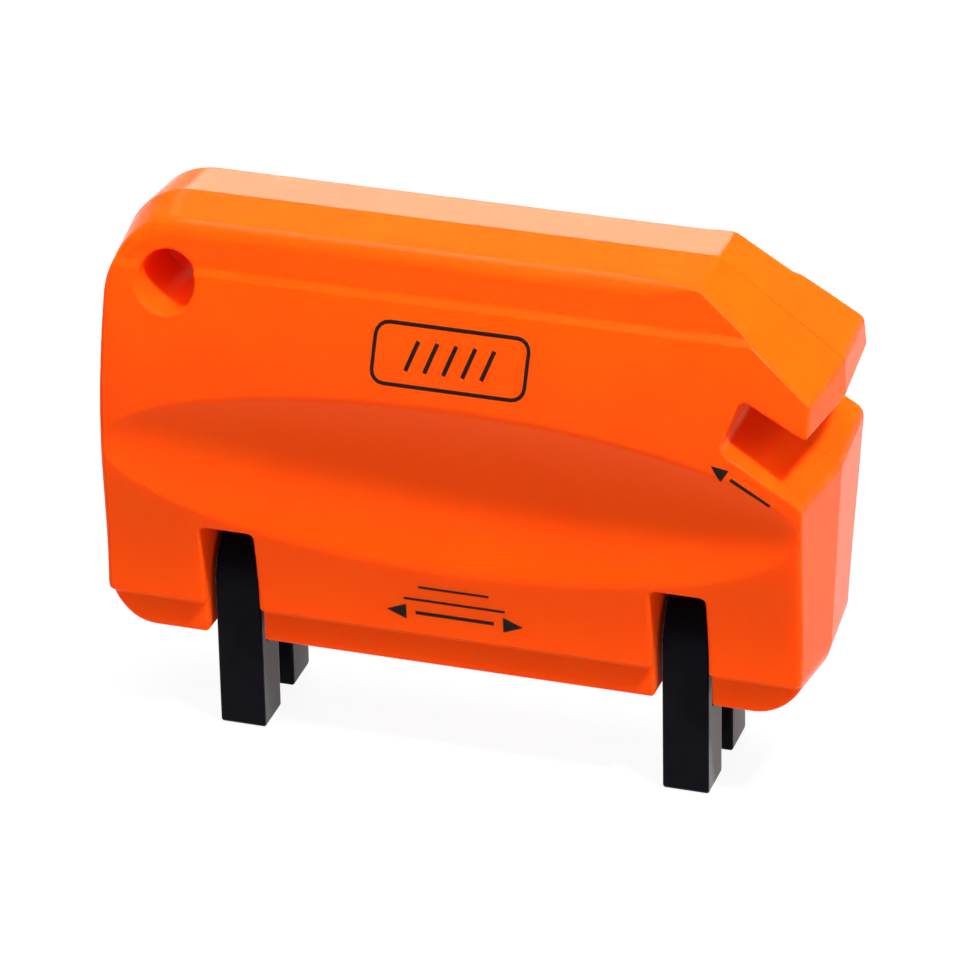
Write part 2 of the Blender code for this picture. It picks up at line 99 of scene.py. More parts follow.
# Pockets for what the shells hold, as half lengths and half widths or as (low, high) ranges
PIVOT_Z, PIN_RADIUS, PIN_SEAT, PIN_PLAY, PIN_END_PLAY = 29.5, 2.5, 2.3, 0.1, 0.3
SPRING_ROOM, SPRING_OVERLAP, SPRING_HALF_WIDTH = 4.8, 0.5, 6.2
SPRING_ROOM_Z = (PIVOT_Z - 6.0, SLOT_TOP_Z - 0.8)
HOLDER_HALF_LENGTH, HOLDER_HALF_WIDTH, HOLDER_TOP_Z = 29.3, 5.8, 34.3
FLANGE_HALF_WIDTH, FLANGE_Z = 8.3, (29.7, 33.3)
BED_FILE_ALONG, BED_FILE_ABOVE, BED_FILE_HALF_WIDTH = (1.9, 9.5), (-1.0, 3.0), 13.3
BACKING_ALONG, BACKING_ABOVE, BACKING_HALF_WIDTH = (0.9, 10.5), (2.3, 4.9), 11.8
POCKET_EDGE_RADIUS = 0.25
WALL_THICKNESS, BOSS_RADIUS, HOLE_COLLAR = 2.6, 5.2, 5.2

# Screws, by their (x, z) in the housing
SCREWS = {
    "top_left": (-34.0, 85.0),
    "top_right": (38.0, 85.0),
    "end_left": (-59.3, 60.0),
    "end_right": (58.6, 54.0),
    "middle": (0.0, 44.6),
}
SCREW_SEAT_Y, SCREW_TIP_Y, SCREW_SINK = 11.0, -9.0, 0.3
SCREW_RADIUS, SCREW_PLAY, BORE_SPARE, BORE_EDGE_RADIUS = 1.45, 0.3, 1.0, 0.35
HEAD_RADIUS, HEAD_HEIGHT, HEAD_EDGE_RADIUS, HEAD_PLAY = 2.8, 2.0, 0.9, 0.6
RECESS_ARM, RECESS_HALF_WIDTH, RECESS_DEPTH, RECESS_TAPER = 1.75, 0.36, 1.2, 0.5
THREAD_PITCH, THREAD_DEPTH, THREAD_START_Y = 1.1, 0.32, (-1.5, -2.5)
SHANK_OVERLAP, TIP_TAPER, TIP_LENGTH = 0.5, 0.9, 0.4

# Guide fork
FORK_WIDTH, FORK_RADIUS, FORK_EDGE_RADIUS, FOOT_EDGE_RADIUS = 8.95, 12.8, 0.5, 0.9
LEG_GAP, CROTCH_Z = 7.1, 20.6
SLIT_Y, SLIT_Z, SLIT_RADIUS, SLIT_DEPTH, SLIT_EDGE_RADIUS = 9.6, (18.2, 25.0), 0.6, 1.0, 0.15

# Torsion springs and turned parts
SPRING_WIRE, SPRING_COIL, SPRING_PITCH, SPRING_TURNS = 0.5, 4.0, 1.15, 3.5
SPRING_GAP, SPRING_ARM_TOP_Z = 0.3, 42.5
PIN_CHAMFER = 0.35
WASHER_RADIUS, WASHER_PLAY, WASHER_CHAMFER = 5.0, 0.3, 0.12
RIVET_DOME, RIVET_DOME_ANGLES = 0.3, (0.5, 1.0, 1.57)

# Grids that the fields are meshed on, as low corner, high corner and steps, and two tolerances
SHELL_GRID = ((-72.0, -1.0, 18.0), (72.0, 22.5, 107.5), (0.55, 0.5, 0.5))
FORK_GRID = ((-5.5, -14.0, -1.0), (5.5, 14.0, 43.5), (0.3, 0.3, 0.3))
SCREW_GRID = ((-3.2, -20.6, -3.2), (3.2, 2.4, 3.2), (0.16, 0.16, 0.16))
CUT_REACH, TINY = 1e-3, 1e-9

# Edges of the turned parts and of the copied CAD shapes: what is merged, bevelled or kept sharp
MERGE_REACH = 1e-4
FLAT_ANGLE, BEVEL_ANGLE = math.radians(2), 0.6
TURNED_SHARP_ANGLE, BEVELLED_SHARP_ANGLE = math.radians(35), math.radians(40)

# Printed marks, in (x, z) on the front face
MARK_LIFT, MARK_THICKNESS, MARK_CUT_X, MARK_CUT_Z = 0.03, 0.06, 2.0, 0.8
BADGE_CENTRE, BADGE_HALF, BADGE_RADIUS, BADGE_SLANT = (1.0, 87.0), (14.5, 5.6), 2.4, 0.06
STRIPE_PITCH, STRIPE_HALF, STRIPE_WIDTH = 3.6, (1.1, 2.8), 0.8
LINE_WIDTH, FINE_LINE_WIDTH = 0.7, 0.5
STROKE_HEADS = (
    ((-13.0, 32.4), (-9.2, 34.0), (-9.2, 30.8)),
    ((13.4, 32.4), (9.6, 30.8), (9.6, 34.0)),
)
STROKE_LINES = (
    ((-7.4, 32.4), (7.8, 32.4), LINE_WIDTH),
    ((-9.6, 35.3), (10.0, 35.3), FINE_LINE_WIDTH),
    ((-6.6, 38.2), (7.0, 38.2), FINE_LINE_WIDTH),
)
NOTCH_HEADS = (((50.6, 74.1), (53.9, 73.6), (52.4, 71.1)),)
NOTCH_LINES = (((54.2, 71.9), (61.6, 67.5), LINE_WIDTH),)

# Camera and studio, in metres, degrees and watts
CAMERA_PLACE, CAMERA_TURN = (0.32757, -0.98553, 0.62235), (61.2544, 1.0418, 17.8019)
CAMERA_SENSOR, CAMERA_LENS, CAMERA_CLIP = 36.0, 239.7, (0.05, 50.0)
FLOOR_HALF = 4.0
LIGHT_AIM = (0.0, 0.0, 0.06)
LIGHTS = {
    "key": ((0.42, -0.23, 0.85), (0.09, 0.09), 14.0),
    "overhead": ((-0.1, 0.3, 1.0), (0.7, 0.5), 12.0),
    "front": ((0.05, -0.62, 1.05), (0.6, 0.6), 4.5),
    "side": ((1.0, 0.1, 0.7), (0.5, 0.3), 3.0),
    "backdrop": ((-0.35, 1.2, 0.55), (0.8, 0.35), 8.0),
}
ROOM_RISE, ROOM_STRENGTH = (0.08, 0.22), (0.8, 0.05)


# ---------------------------------------------------------------- distance fields


def step(value, start, end):
    """0 before start, 1 past end, smooth in between."""
    t = np.clip((value - start) / (end - start), 0.0, 1.0)
    return t * t * (3.0 - 2.0 * t)


def mix(first, second, share):
    return first + (second - first) * share


def inside_all(*solids):
    """What lies inside every one of the solids."""
    return functools.reduce(np.maximum, solids)


def inside_any(*solids):
    """What lies inside at least one of the solids."""
    return functools.reduce(np.minimum, solids)


def round_and(a, b, radius):
    """What lies inside both a and b, with the edge between them rounded."""
    corner = np.hypot(np.maximum(a + radius, 0.0), np.maximum(b + radius, 0.0))
    return np.minimum(np.maximum(a, b), -radius) + corner


def wall(x, z, start, end):
    """Signed distance to the line from start to end, positive on its left."""
    along_x, along_z = end[0] - start[0], end[1] - start[1]
    length = math.hypot(along_x, along_z)
    return (along_x * (z - start[1]) - along_z * (x - start[0])) / length


def span(value, first, second):
    """Distance to the slab between first and second, negative inside."""
    return np.abs(value - (first + second) / 2) - abs(second - first) / 2


def off_axis(x, z, centre):
    """Distance from an axis that runs along Y through centre."""
    return np.hypot(x - centre[0], z - centre[1])


def outline(x, w, z, side):
    """Outside of the housing seen from the front, without its notch."""
    lean = DRAFT[side] * w
    left = wall(x, z, LEFT_LOW, LEFT_TOP) + lean
    right_low = wall(x, z, RIGHT_BEAK, RIGHT_LOW)
    right = np.maximum(right_low, wall(x, z, RIGHT_TOP, RIGHT_BEAK)) + lean
    slope = wall(x, z, SLOPE_TOP, RIGHT_TOP) + lean
    top = z - TOP_Z + lean
    bottom = BOTTOM_Z - z + LOW_DRAFT * w
    shoulder = round_and(left, top, SHOULDER_RADIUS)
    beak = round_and(slope, right, BEAK_RADIUS)
    crest = round_and(top, slope, SLOPE_RADIUS)
    low = round_and(bottom, np.maximum(left, right), CORNER_RADIUS)
    return inside_all(shoulder, beak, crest, low)


def falling(start, angle):
    """A second point on the line that falls to the right from start at this angle."""
    return start[0] + math.cos(angle), start[1] - math.sin(angle)


def notch(x, z):
    """Bed-knife notch, negative inside it."""
    above_floor = wall(x, z, NOTCH_FLOOR, falling(NOTCH_FLOOR, FLOOR_ANGLE))
    above_roof = wall(x, z, NOTCH_ROOF, falling(NOTCH_ROOF, ROOF_ANGLE))
    past_back = wall(x, z, NOTCH_FLOOR, NOTCH_ROOF)
    return round_and(np.maximum(-above_floor, above_roof), past_back, NOTCH_CORNER_RADIUS)


def belly_depth(z):
    """Half thickness of the housing at height z, without the finger groove."""
    rise = np.clip((z - SKIRT_Z) / (BELLY_Z - SKIRT_Z), 0.0, 1.0)
    lower = mix(SKIRT_DEPTH, BELLY_DEPTH, (1.0 - np.cos(np.pi * rise)) / 2)
    upper = BELLY_DEPTH - (z - BELLY_Z) ** 2 / BELLY_FALL
    belly = np.where(z > BELLY_Z, upper, lower)
    crown = CROWN_DEPTH - CROWN_LEAN * (z - CROWN_Z)
    panel = mix(crown, belly, step(z, *CROWN_START_Z))
    return mix(BAND_DEPTH, panel, step(z, *BAND_END_Z))


def soft_ramp(t, soft):
    """0 below t = 0 and t above it, with a short bend in between."""
    return np.maximum(t, 0.0) + soft / 4 * np.maximum(1.0 - np.abs(t) / soft, 0.0) ** 2


def groove_depth(x, z):
    """How far the finger groove is sunk: a long lens of arc section."""
    rest = np.maximum(1.0 - (x / GROOVE_HALF_LENGTH) ** 2, 0.0)
    root = np.sqrt(rest)
    top, low = GROOVE_Z + GROOVE_RISE * root, GROOVE_Z - GROOVE_DROP * root
    height = np.maximum(top - low, 0.01)
    down = np.clip((top - z) / height, -1.0, 2.0)
    arc = soft_ramp(4.0 * down * (1.0 - down), GROOVE_LIP)
    return GROOVE_DEPTH * rest**GROOVE_TAPER * arc


def face_depth(x, z):
    return belly_depth(z) - groove_depth(x, z)


def broad_face(x, w, z):
    """Distance outside the broad moulded face."""
    reach = 0.05
    depth = face_depth(x, z)
    slope_x = (face_depth(x + reach, z) - depth) / reach
    slope_z = (face_depth(x, z + reach) - depth) / reach
    return (w - depth) / np.sqrt(1.0 + slope_x**2 + slope_z**2)


def rim_radius(x, z, cut, side):
    """Radius of the edge round the broad face: soft along the top, tight at slope and notch."""
    on_top = step(z, *RIM_TOP_Z) * step(x, *RIM_TOP_X)
    on_slope = step(x, *RIM_SLOPE_X) * step(z, *RIM_SLOPE_Z)
    radius = mix(TIGHT_RIM_RADIUS, RIM_RADIUS, step(cut, *RIM_OFF_NOTCH))
    radius = mix(radius, TOP_RADIUS[side], on_top)
    radius = mix(radius, LOW_RIM_RADIUS, step(z, *RIM_LOW_Z))
    return mix(radius, TIGHT_RIM_RADIUS, on_slope * (1.0 - on_top))


def inward(name):
    """+1 where the middle of the tool lies towards +X of this fork."""
    return 1 if FORKS[name] < 0 else -1


def holder_room(x, w, z):
    """Room for the reel file's holder and its flange."""
    ends = np.abs(x) - HOLDER_HALF_LENGTH
    bar = inside_all(ends, w - HOLDER_HALF_WIDTH, z - HOLDER_TOP_Z)
    flange = inside_all(ends, w - FLANGE_HALF_WIDTH, span(z, *FLANGE_Z))
    return inside_any(bar, flange)


def hinge_room(x, w, z, name):
    """Room for one fork's spring, and the seats at both ends of its pin."""
    centre, way, side = FORKS[name], inward(name), SLOT_WIDTH / 2
    near, far = centre + way * (side - SPRING_OVERLAP), centre + way * (side + SPRING_ROOM)
    spring = inside_all(span(x, near, far), w - SPRING_HALF_WIDTH, span(z, *SPRING_ROOM_Z))
    outer_end = centre - way * (side + PIN_SEAT + PIN_END_PLAY)
    inner_end = centre + way * (side + SPRING_ROOM + PIN_SEAT + PIN_END_PLAY)
    round_pin = np.hypot(w, z - PIVOT_Z) - PIN_RADIUS - PIN_PLAY
    return inside_any(spring, inside_all(round_pin, span(x, outer_end, inner_end)))


def bed_file_room(x, w, z):
    """Room for the bed-knife file and its backing, square to the notch's roof."""
    dx, dz = x - NOTCH_ROOF[0], z - NOTCH_ROOF[1]
    along = dx * math.cos(ROOF_ANGLE) - dz * math.sin(ROOF_ANGLE)
    above = dx * math.sin(ROOF_ANGLE) + dz * math.cos(ROOF_ANGLE)
    file_seat = inside_all(span(along, *BED_FILE_ALONG), span(above, *BED_FILE_ABOVE))
    backing_seat = inside_all(span(along, *BACKING_ALONG), span(above, *BACKING_ABOVE))
    file_room = inside_all(file_seat, w - BED_FILE_HALF_WIDTH)
    return inside_any(file_room, inside_all(backing_seat, w - BACKING_HALF_WIDTH))


def pockets(x, w, z):
    """Every pocket of a shell but its screw holes."""
    hinges = [hinge_room(x, w, z, name) for name in FORKS]
    return inside_any(holder_room(x, w, z), *hinges, bed_file_room(x, w, z))


def screw_bores(x, w, z, side):
    """Screw holes: clearance and counterbore in the rear shell, blind in the front one."""
    bores = []
    for centre in SCREWS.values():
        off = off_axis(x, z, centre)
        bore = off - SCREW_RADIUS - SCREW_PLAY
        if side == REAR:
            counterbore = inside_all(off - HEAD_RADIUS - HEAD_PLAY, SCREW_SEAT_Y - w)
            bores.append(inside_any(bore, counterbore))
        else:
            bores.append(inside_all(bore, w + SCREW_TIP_Y - BORE_SPARE))
    return inside_any(*bores)


def bosses(x, z):
    """Where the shells stay solid: round the hang hole and round each screw."""
    collar = off_axis(x, z, HANG_HOLE) - HANG_HOLE_RADIUS - HOLE_COLLAR
    return inside_any(collar, *(off_axis(x, z, centre) - BOSS_RADIUS for centre in SCREWS.values()))


def fork_slot(x, z, centre):
    """One fork's slot through the lower edge of the housing, a little wider at its mouth."""
    flare = SLOT_FLARE * (SLOT_TOP_Z - z)
    sides = np.abs(x - centre) - SLOT_WIDTH / 2 - flare
    return round_and(sides, z - SLOT_TOP_Z, SLOT_CORNER_RADIUS)


def shell_field(side):
    """The field of one shell: walls and edges, then its openings, its pockets and its hollow."""

    def field(x, w, z):
        cut = notch(x, z)
        rim = round_and(outline(x, w, z, side), -cut, NOTCH_EDGE_RADIUS)
        solid = round_and(broad_face(x, w, z), rim, rim_radius(x, z, cut, side))
        hole = off_axis(x, z, HANG_HOLE) - HANG_HOLE_RADIUS
        solid = round_and(solid, -hole, HOLE_EDGE_RADIUS)
        for centre in FORKS.values():
            solid = round_and(solid, -fork_slot(x, z, centre), SLOT_EDGE_RADIUS)
        solid = round_and(solid, -pockets(x, w, z), POCKET_EDGE_RADIUS)
        hollow = np.maximum(solid + WALL_THICKNESS, -bosses(x, z))
        solid = round_and(solid, -screw_bores(x, w, z, side), BORE_EDGE_RADIUS)
        return inside_all(solid, -hollow, SEAM_SPARE - w)

    return field


def fork_field(x, y, z):
    """A guide fork about x = 0: a round hub over two legs, with slits in the cheeks."""
    side_view = np.hypot(y, np.maximum(z - PIVOT_Z, 0.0)) - FORK_RADIUS
    side_view = round_and(side_view, -z, FOOT_EDGE_RADIUS)
    gap = np.hypot(y, np.maximum(z - CROTCH_Z, 0.0)) - LEG_GAP / 2
    side_view = round_and(side_view, -gap, FORK_EDGE_RADIUS)
    solid = round_and(side_view, np.abs(x) - FORK_WIDTH / 2, FORK_EDGE_RADIUS)
    solid = np.maximum(solid, PIN_RADIUS + PIN_PLAY - np.hypot(y, z - PIVOT_Z))
    slit = np.hypot(np.abs(y) - SLIT_Y, np.maximum(SLIT_Z[0] - z, 0.0)) - SLIT_RADIUS
    slit = inside_all(slit, z - SLIT_Z[1], FORK_WIDTH / 2 - SLIT_DEPTH - np.abs(x))
    return round_and(solid, -slit, SLIT_EDGE_RADIUS)


def cross_recess(x, y, z):
    """The screwdriver's cross, which narrows with depth."""
    arm = RECESS_ARM - RECESS_TAPER * (HEAD_HEIGHT - y)
    along_x = inside_all(np.abs(x) - arm, np.abs(z) - RECESS_HALF_WIDTH)
    along_z = inside_all(np.abs(z) - arm, np.abs(x) - RECESS_HALF_WIDTH)
    return np.maximum(inside_any(along_x, along_z), HEAD_HEIGHT - RECESS_DEPTH - y)


def screw_field(x, y, z):
    """A pan-head screw along +Y with its seat at y = 0, a cross recess and a shallow thread."""
    off = np.hypot(x, z)
    head = np.maximum(round_and(off - HEAD_RADIUS, y - HEAD_HEIGHT, HEAD_EDGE_RADIUS), -y)
    head = np.maximum(head, -cross_recess(x, y, z))
    length = SCREW_SEAT_Y - SCREW_TIP_Y
    turn = (y / THREAD_PITCH - np.arctan2(z, x) / math.tau) % 1.0
    groove = np.minimum(np.abs(turn - 0.5) * 4.0, 1.0) * step(y, *THREAD_START_Y)
    side = off - SCREW_RADIUS + THREAD_DEPTH * groove
    tip = off * TIP_TAPER - TIP_LENGTH - (y + length)
    return inside_any(head, inside_all(side, y - SHANK_OVERLAP, tip))


# ---------------------------------------------------------------- mesher


def surface_net(field, low, high, steps):
    """(points, quads) of the surface where the field is 0, one point per crossed grid cell."""
    low, steps = np.array(low), np.array(steps)
    counts = np.ceil((np.array(high) - low) / steps).astype(int) + 1
    axes = [low[i] + steps[i] * np.arange(counts[i]) for i in range(3)]
    values = field(*np.meshgrid(*axes, indexing="ij", sparse=True))
    inside = values < 0
    corners = [(i, j, k) for i in (0, 1) for j in (0, 1) for k in (0, 1)]
    total = np.zeros(counts - 1, int)
    for i, j, k in corners:
        nx, ny, nz = counts - 1
        total += inside[i : i + nx, j : j + ny, k : k + nz]
    cells = np.argwhere((total > 0) & (total < 8))
    index = np.full(counts - 1, -1)
    index[tuple(cells.T)] = np.arange(len(cells))
    corner_values = np.stack([values[tuple((cells + c).T)] for c in corners], 1)
    points = low + (cells + mean_crossing(corners, corner_values)) * steps
    return points, net_quads(inside, index)


def mean_crossing(corners, corner_values):
    """Where the surface crosses each cell's edges, as a mean place inside the cell."""
    place = np.zeros((len(corner_values), 3))
    crossed = np.zeros(len(corner_values))
    for a, first in enumerate(corners):
        for b, second in enumerate(corners):
            if a < b and sum(abs(p - q) for p, q in zip(first, second)) == 1:
                va, vb = corner_values[:, a], corner_values[:, b]
                hit = (va < 0) != (vb < 0)
                share = np.where(hit, va / np.where(hit, va - vb, 1.0), 0.0)
                start, way = np.array(first), np.array(second) - np.array(first)
                place += hit[:, None] * (start + share[:, None] * way)
                crossed += hit
    return place / crossed[:, None]


def net_quads(inside, index):
    """One quad round each grid edge whose ends lie on two sides of the surface."""
    found = []
    for axis in range(3):
        u, v = (axis + 1) % 3, (axis + 2) % 3
        last = inside.shape[axis] - 1
        first = inside.take(range(last), axis=axis)
        second = inside.take(range(1, last + 1), axis=axis)
        edges = np.argwhere(first != second)
        step_u, step_v = np.eye(3, dtype=int)[u], np.eye(3, dtype=int)[v]
        ring = [edges - step_u - step_v, edges - step_v, edges, edges - step_u]
        quads = np.stack([index[tuple(cell.T)] for cell in ring], 1)
        outward = first[tuple(edges.T)]
        found.append(np.where(outward[:, None], quads, quads[:, ::-1]))
    return np.concatenate(found)


def gradient(field, points, reach=0.02):
    """The field's slope along X, Y and Z at each point."""
    slopes = []
    for axis in range(3):
        ahead, behind = points.copy(), points.copy()
        ahead[:, axis] += reach
        behind[:, axis] -= reach
        slopes.append((field(*ahead.T) - field(*behind.T)) / (2 * reach))
    return np.stack(slopes, 1)


def settle(field, points, most, rounds=3):
    """Moves the points onto the surface, no more than most in each round."""
    least_slope = 0.5
    for _ in range(rounds):
        slope = gradient(field, points)
        slope_squared = np.maximum((slope**2).sum(axis=1), least_slope**2)
        move = -slope * (field(*points.T) / slope_squared)[:, None]
        size = np.linalg.norm(move, axis=1)
        points = points + move * np.minimum(1.0, most / np.maximum(size, TINY))[:, None]
    return points


def relax(points, quads):
    """Each point goes halfway to the mean of its neighbours."""
    total, count = np.zeros_like(points), np.zeros(len(points))
    for i in range(4):
        ends = quads[:, [i, (i + 1) % 4]]
        for a, b in ((0, 1), (1, 0)):
            for axis in range(3):
                total[:, axis] += np.bincount(ends[:, a], points[ends[:, b], axis], len(points))
            count += np.bincount(ends[:, a], minlength=len(points))
    return (points + total / count[:, None]) / 2


def cut_flat(mesh, level):
    """Cuts away what lies below w = level and closes the cut, which leaves a crisp edge."""
    bm = bmesh.new()
    bm.from_mesh(mesh)
    cut = bmesh.ops.bisect_plane(
        bm,
        geom=bm.verts[:] + bm.edges[:] + bm.faces[:],
        dist=CUT_REACH / 10,
        plane_co=(0, level, 0),
        plane_no=(0, 1, 0),
        clear_inner=True,
    )
    rim = [item for item in cut["geom_cut"] if isinstance(item, bmesh.types.BMEdge)]
    bmesh.ops.triangle_fill(bm, edges=rim, use_beauty=True, normal=(0, -1, 0))
    bm.to_mesh(mesh)
    bm.free()


def corner_normals(mesh, field, points, cut_level):
    """The field's own normal at each face corner, and plain -Y all over a flat cut."""
    corners = np.empty(len(mesh.loops), int)
    mesh.loops.foreach_get("vertex_index", corners)
    normals = gradient(field, points)[corners]
    normals /= np.maximum(np.linalg.norm(normals, axis=1), TINY)[:, None]
    if cut_level is not None:
        on_cut = points[:, 1] < cut_level + CUT_REACH
        for facet in mesh.polygons:
            if all(on_cut[vertex] for vertex in facet.vertices):
                normals[facet.loop_start : facet.loop_start + facet.loop_total] = (0, -1, 0)
    return normals


def field_mesh(name, field, grid, place, cut_level=None):
    """A mesh of the field; place moves its points to where they stand, in millimetres."""
    low, high, steps = grid
    points, quads = surface_net(field, low, high, steps)
    points = settle(field, relax(points, quads), min(steps) / 2)
    mesh = bpy.data.meshes.new(name)
    mesh.from_pydata(points.tolist(), [], quads.tolist())
    if cut_level is not None:
        cut_flat(mesh, cut_level)
    origin = place(np.zeros((1, 3)))
    if np.linalg.det(place(np.eye(3)) - origin) < 0:
        mesh.flip_normals()
    points = np.empty(len(mesh.vertices) * 3)
    mesh.vertices.foreach_get("co", points)
    points = points.reshape(-1, 3)
    normals = corner_normals(mesh, field, points, cut_level)
    mesh.vertices.foreach_set("co", (place(points) * MM).ravel())
    mesh.shade_smooth()
    mesh.normals_split_custom_set((place(normals) - origin).tolist())
    return mesh


def moved(*shift):
    """A placement that only shifts points."""
    return lambda points: points + shift


# ---------------------------------------------------------------- small helpers


def add_piece(name, data, body, slot, material, *nodes):
    """Adds an object that rides on a CAD body and stands for the nodes that it names."""
    obj = bpy.data.objects.new(name, data)
    bpy.context.scene.collection.objects.link(obj)
    data.materials.clear()
    data.materials.append(material)
    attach(obj, body)
    if nodes:
        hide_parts(*nodes)
    return obj


def mesh_from(bm, name):
    """Turns a bmesh into a mesh with smooth shading, and frees it."""
    mesh = bpy.data.meshes.new(name)
    bm.to_mesh(mesh)
    bm.free()
    mesh.shade_smooth()
    return mesh


def extent(node, axis):
    """(middle, half length) of a CAD node's box along one axis, in millimetres."""
    low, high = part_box(node)
    return (low[axis] + high[axis]) / 2 / MM, (high[axis] - low[axis]) / 2 / MM


def lathe(name, profile, centre, axis, segments=64):
    """A turned solid: profile is (radius, distance along the axis), from one end to the other."""
    bm = bmesh.new()
    rings = []
    turns = [math.tau * i / segments for i in range(segments)]
    for radius, along in profile:
        angles = turns if radius else [0.0]
        ring = [(radius * math.cos(t) * MM, radius * math.sin(t) * MM, along * MM) for t in angles]
        rings.append([bm.verts.new(point) for point in ring])
    if len(rings[0]) > 1:
        rings.append(rings[0])
    for first, second in zip(rings, rings[1:]):
        for i in range(segments):
            j = (i + 1) % segments
            corners = [first[i % len(first)], first[j % len(first)]]
            corners += [second[j % len(second)], second[i % len(second)]]
            bm.faces.new(list(dict.fromkeys(corners)))
    bmesh.ops.recalc_face_normals(bm, faces=bm.faces)
    turn = Matrix.Rotation(math.radians(90), 4, "Y" if axis == "X" else "X")
    place = Matrix.Translation(Vector(centre) * MM) @ turn
    bmesh.ops.transform(bm, matrix=place, verts=bm.verts)
    mesh = mesh_from(bm, name)
    mesh.set_sharp_from_angle(angle=TURNED_SHARP_ANGLE)
    return mesh


def disc_profile(inner, outer, half, chamfer):
    """Profile for lathe of a disc or pin with both of its outer edges cut off."""
    profile = [(inner, -half), (outer - chamfer, -half), (outer, -half + chamfer)]
    return profile + [(outer, half - chamfer), (outer - chamfer, half), (inner, half)]


def bevelled_copy(node, name, width):
    """The CAD node's shape with its facets merged and its edges rounded."""
    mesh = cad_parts[node].data.copy()
    mesh.name = name
    bm = bmesh.new()
    bm.from_mesh(mesh)
    bmesh.ops.remove_doubles(bm, verts=bm.verts, dist=MERGE_REACH * MM)
    bmesh.ops.dissolve_limit(bm, angle_limit=FLAT_ANGLE, verts=bm.verts, edges=bm.edges)
    manifold = [edge for edge in bm.edges if edge.is_manifold]
    sharp = [edge for edge in manifold if edge.calc_face_angle() > BEVEL_ANGLE]
    bmesh.ops.bevel(
        bm,
        geom=sharp,
        offset=width * MM,
        segments=3,
        profile=0.5,
        affect="EDGES",
        clamp_overlap=True,
    )
    bm.to_mesh(mesh)
    bm.free()
    mesh.shade_smooth()
    mesh.set_sharp_from_angle(angle=BEVELLED_SHARP_ANGLE)
    return mesh


# ---------------------------------------------------------------- materials


class Tree:
    """A new material's node tree, with short ways to add and join nodes."""

    def __init__(self, name, base, roughness, metallic=0.0, ior=1.5):
        self.material = bpy.data.materials.new(name)
        self.material.use_nodes = True
        self.nodes = self.material.node_tree.nodes
        self.links = self.material.node_tree.links
        self.shader = self.nodes["Principled BSDF"]
        self.set(self.shader, {"Base Color": (*base, 1.0), "Roughness": roughness})
        self.set(self.shader, {"Metallic": metallic, "IOR": ior})
        self.position = self.add("ShaderNodeTexCoord").outputs["Object"]

    def add(self, kind, values=None):
        node = self.nodes.new(kind)
        self.set(node, values or {})
        return node

    def set(self, node, values):
        for name, value in values.items():
            node.inputs[name].default_value = value

    def noise(self, size_mm, detail=2.0, stretch=None):
        """Noise whose features are about this size."""
        source = self.position
        if stretch:
            mapping = self.add("ShaderNodeMapping", {"Scale": stretch})
            self.links.new(source, mapping.inputs["Vector"])
            source = mapping.outputs["Vector"]
        made = self.add("ShaderNodeTexNoise", {"Scale": 1.0 / (size_mm * MM), "Detail": detail})
        self.links.new(source, made.inputs["Vector"])
        return made.outputs["Fac"]

    def ramp(self, source, low, high, to_low, to_high):
        """A number that goes from to_low to to_high as source goes from low to high."""
        made = self.add("ShaderNodeMapRange", {"From Min": low, "From Max": high})
        self.set(made, {"To Min": to_low, "To Max": to_high})
        self.links.new(source, made.inputs["Value"])
        return made.outputs["Result"]

    def rough(self, source, low, high, at_low, at_high):
        """Roughness that goes from at_low to at_high as source goes from low to high."""
        made = self.ramp(source, low, high, at_low, at_high)
        self.links.new(made, self.shader.inputs["Roughness"])

    def tint(self, factor, first, second):
        """A base colour between two others."""
        made = self.add("ShaderNodeMix")
        made.data_type = "RGBA"
        made.inputs[6].default_value = (*first, 1.0)
        made.inputs[7].default_value = (*second, 1.0)
        self.links.new(factor, made.inputs[0])
        self.links.new(made.outputs[2], self.shader.inputs["Base Color"])

    def bump(self, height, strength, distance_mm):
        made = self.add("ShaderNodeBump", {"Strength": strength, "Distance": distance_mm * MM})
        self.links.new(height, made.inputs["Height"])
        self.links.new(made.outputs["Normal"], self.shader.inputs["Normal"])


def orange_plastic():
    """Glossy moulded plastic with a fine grain and a faint cloudiness."""
    tree = Tree("orange_plastic", base=(0.99, 0.073, 0.002), roughness=0.19, ior=1.11)
    tree.set(tree.shader, {"Subsurface Weight": 0.8, "Subsurface Scale": MM})
    tree.set(tree.shader, {"Subsurface Radius": (4.0, 0.25, 0.08)})
    cloud = tree.ramp(tree.noise(14.0, 3.0), 0.35, 0.65, 0.0, 1.0)
    tree.tint(cloud, (0.99, 0.071, 0.002), (1.0, 0.076, 0.002))
    tree.rough(tree.noise(0.8, 4.0), 0.3, 0.7, at_low=0.17, at_high=0.21)
    tree.bump(tree.noise(0.14, 2.0), strength=0.1, distance_mm=0.02)
    return tree.material


def black_nylon():
    """Near-black nylon with the fine spark grain of its mould."""
    tree = Tree("black_nylon", base=(0.002, 0.002, 0.004), roughness=0.36, ior=1.12)
    tree.set(tree.shader, {"Sheen Weight": 1.0, "Sheen Roughness": 0.25})
    tree.tint(tree.noise(3.0, 3.0), (0.001, 0.001, 0.003), (0.003, 0.003, 0.006))
    tree.rough(tree.noise(0.5), 0.3, 0.7, at_low=0.32, at_high=0.42)
    tree.bump(tree.noise(0.22, 3.0), strength=0.5, distance_mm=0.05)
    return tree.material


def steel(name, stretch):
    """Plated steel with fine marks along one way."""
    tree = Tree(name, base=(0.56, 0.56, 0.57), roughness=0.3, metallic=1.0)
    marks = tree.noise(0.25, 3.0, stretch)
    tree.rough(marks, 0.3, 0.7, at_low=0.22, at_high=0.42)
    tree.tint(marks, (0.5, 0.5, 0.51), (0.63, 0.63, 0.62))
    tree.bump(marks, strength=0.15, distance_mm=0.02)
    return tree.material


